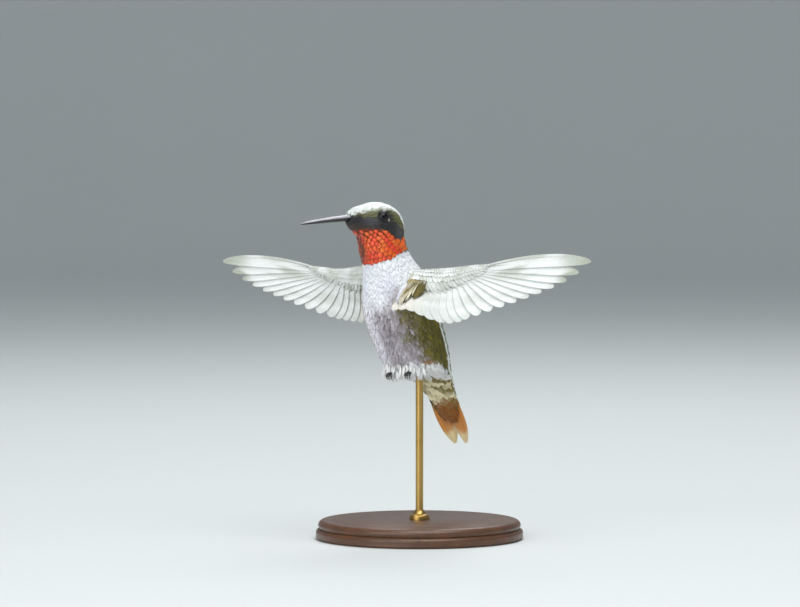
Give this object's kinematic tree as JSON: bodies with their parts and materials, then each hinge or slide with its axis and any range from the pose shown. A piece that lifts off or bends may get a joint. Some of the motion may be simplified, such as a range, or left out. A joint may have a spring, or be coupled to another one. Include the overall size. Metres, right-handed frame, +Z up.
{
  "type": "ruby-throated hummingbird model",
  "caption": "Life-size still model of an adult male ruby-throated hummingbird that hovers, wings spread, on a flat round base with an upright rod.",
  "frame": {"origin": "centre of the flat underside of the stand's base", "axes": "+Z up; +X towards the bird's left wing tip, along the span; the breast faces -Y"},
  "size_m": [0.1044, 0.0654, 0.0882],
  "materials": {
    "crown_plumage": "overlapping feathers, silvery green over a dark grey mask",
    "gorget_plumage": "iridescent scale-like feathers, satin",
    "breast_plumage": "soft matt feathers",
    "belly_plumage": "soft matt feathers, bronze green at the flanks",
    "covert_plumage": "cream and olive feathers",
    "tail_feather": "smooth vanes, satin",
    "wing_lining": "small olive-gold feathers",
    "wing_feather": "smooth pale vanes, satin",
    "thigh_plumage": "white tufts",
    "horn": "dark horn, satin gloss",
    "eye": "dark glass, polished",
    "foot_skin": "black scaled skin, satin",
    "walnut": "turned walnut, oiled",
    "brass_rod": "satin brass"
  },
  "bodies": {
    "root": {"head": "crown_plumage", "neck": "gorget_plumage", "breast": "breast_plumage", "belly": "belly_plumage", "rump": "covert_plumage", "tail": "tail_feather", "bill_upper": "horn", "bill_lower": "horn", "stand_base": "walnut", "stand_rod": "brass_rod", "eye_left": "eye", "wing_left_arm": "wing_lining", "wing_left_secondaries": "wing_feather", "wing_left_primaries": "wing_feather", "leg_left": "thigh_plumage", "foot_left": "foot_skin", "eye_right": "eye", "wing_right_arm": "wing_lining", "wing_right_secondaries": "wing_feather", "wing_right_primaries": "wing_feather", "leg_right": "thigh_plumage", "foot_right": "foot_skin"}
  },
  "joints": []
}
